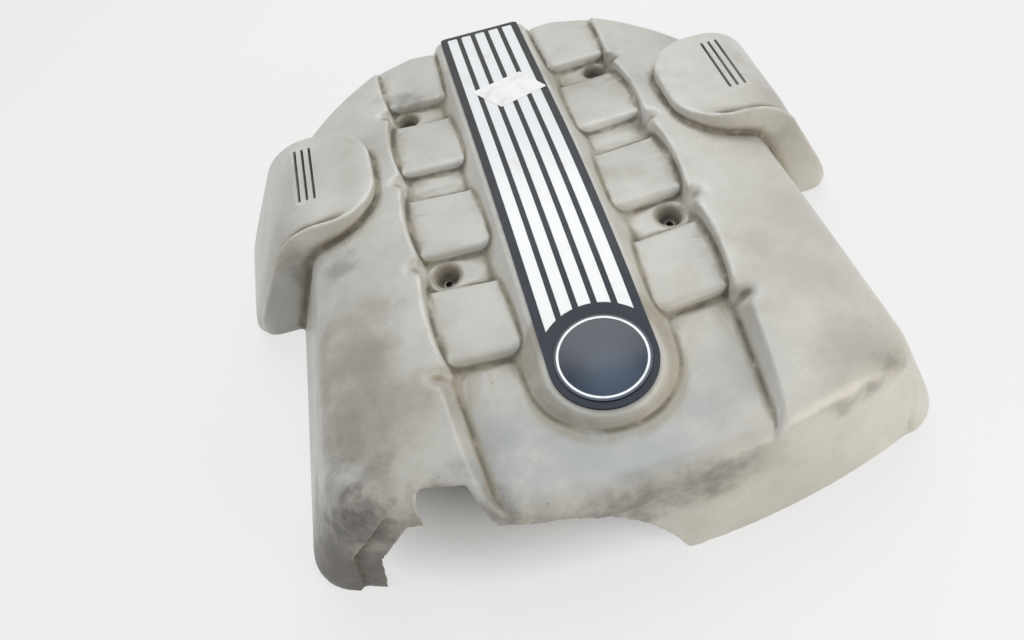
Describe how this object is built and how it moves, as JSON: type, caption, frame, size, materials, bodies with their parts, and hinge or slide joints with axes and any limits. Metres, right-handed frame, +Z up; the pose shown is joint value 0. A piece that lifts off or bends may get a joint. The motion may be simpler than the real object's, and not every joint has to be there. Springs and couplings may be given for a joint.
{
  "type": "engine cover",
  "caption": "Moulded plastic engine cover with scalloped pads, flared rear ears, screw wells and a long dark trim strip with light bars and a plain round badge.",
  "frame": {"origin": "on the bench, under the middle of the cover's box", "axes": "+X to the right seen from the front, +Y to the rear, +Z up"},
  "size_m": [0.5946, 0.5873, 0.13],
  "materials": {
    "cover": "dull silver-grey moulded plastic, dirty in the hollows",
    "trim": "dark charcoal, slightly blue, satin",
    "bars": "bright white, smooth",
    "badge": "dark, clear-domed",
    "ring": "pale silver-white",
    "rubber": "dull black",
    "steel": "plain zinc-grey"
  },
  "bodies": {
    "root": {"cover_body": "cover", "trim_strip": "trim", "stripe_1": "bars", "stripe_2": "bars", "stripe_3": "bars", "stripe_4": "bars", "stripe_5": "bars", "badge": "badge", "badge_ring": "ring", "bush_front_left": "rubber", "bush_front_right": "rubber", "bush_rear_left": "rubber", "bush_rear_right": "rubber", "sleeve_front_left": "steel", "sleeve_front_right": "steel", "sleeve_rear_left": "steel", "sleeve_rear_right": "steel"}
  },
  "joints": []
}
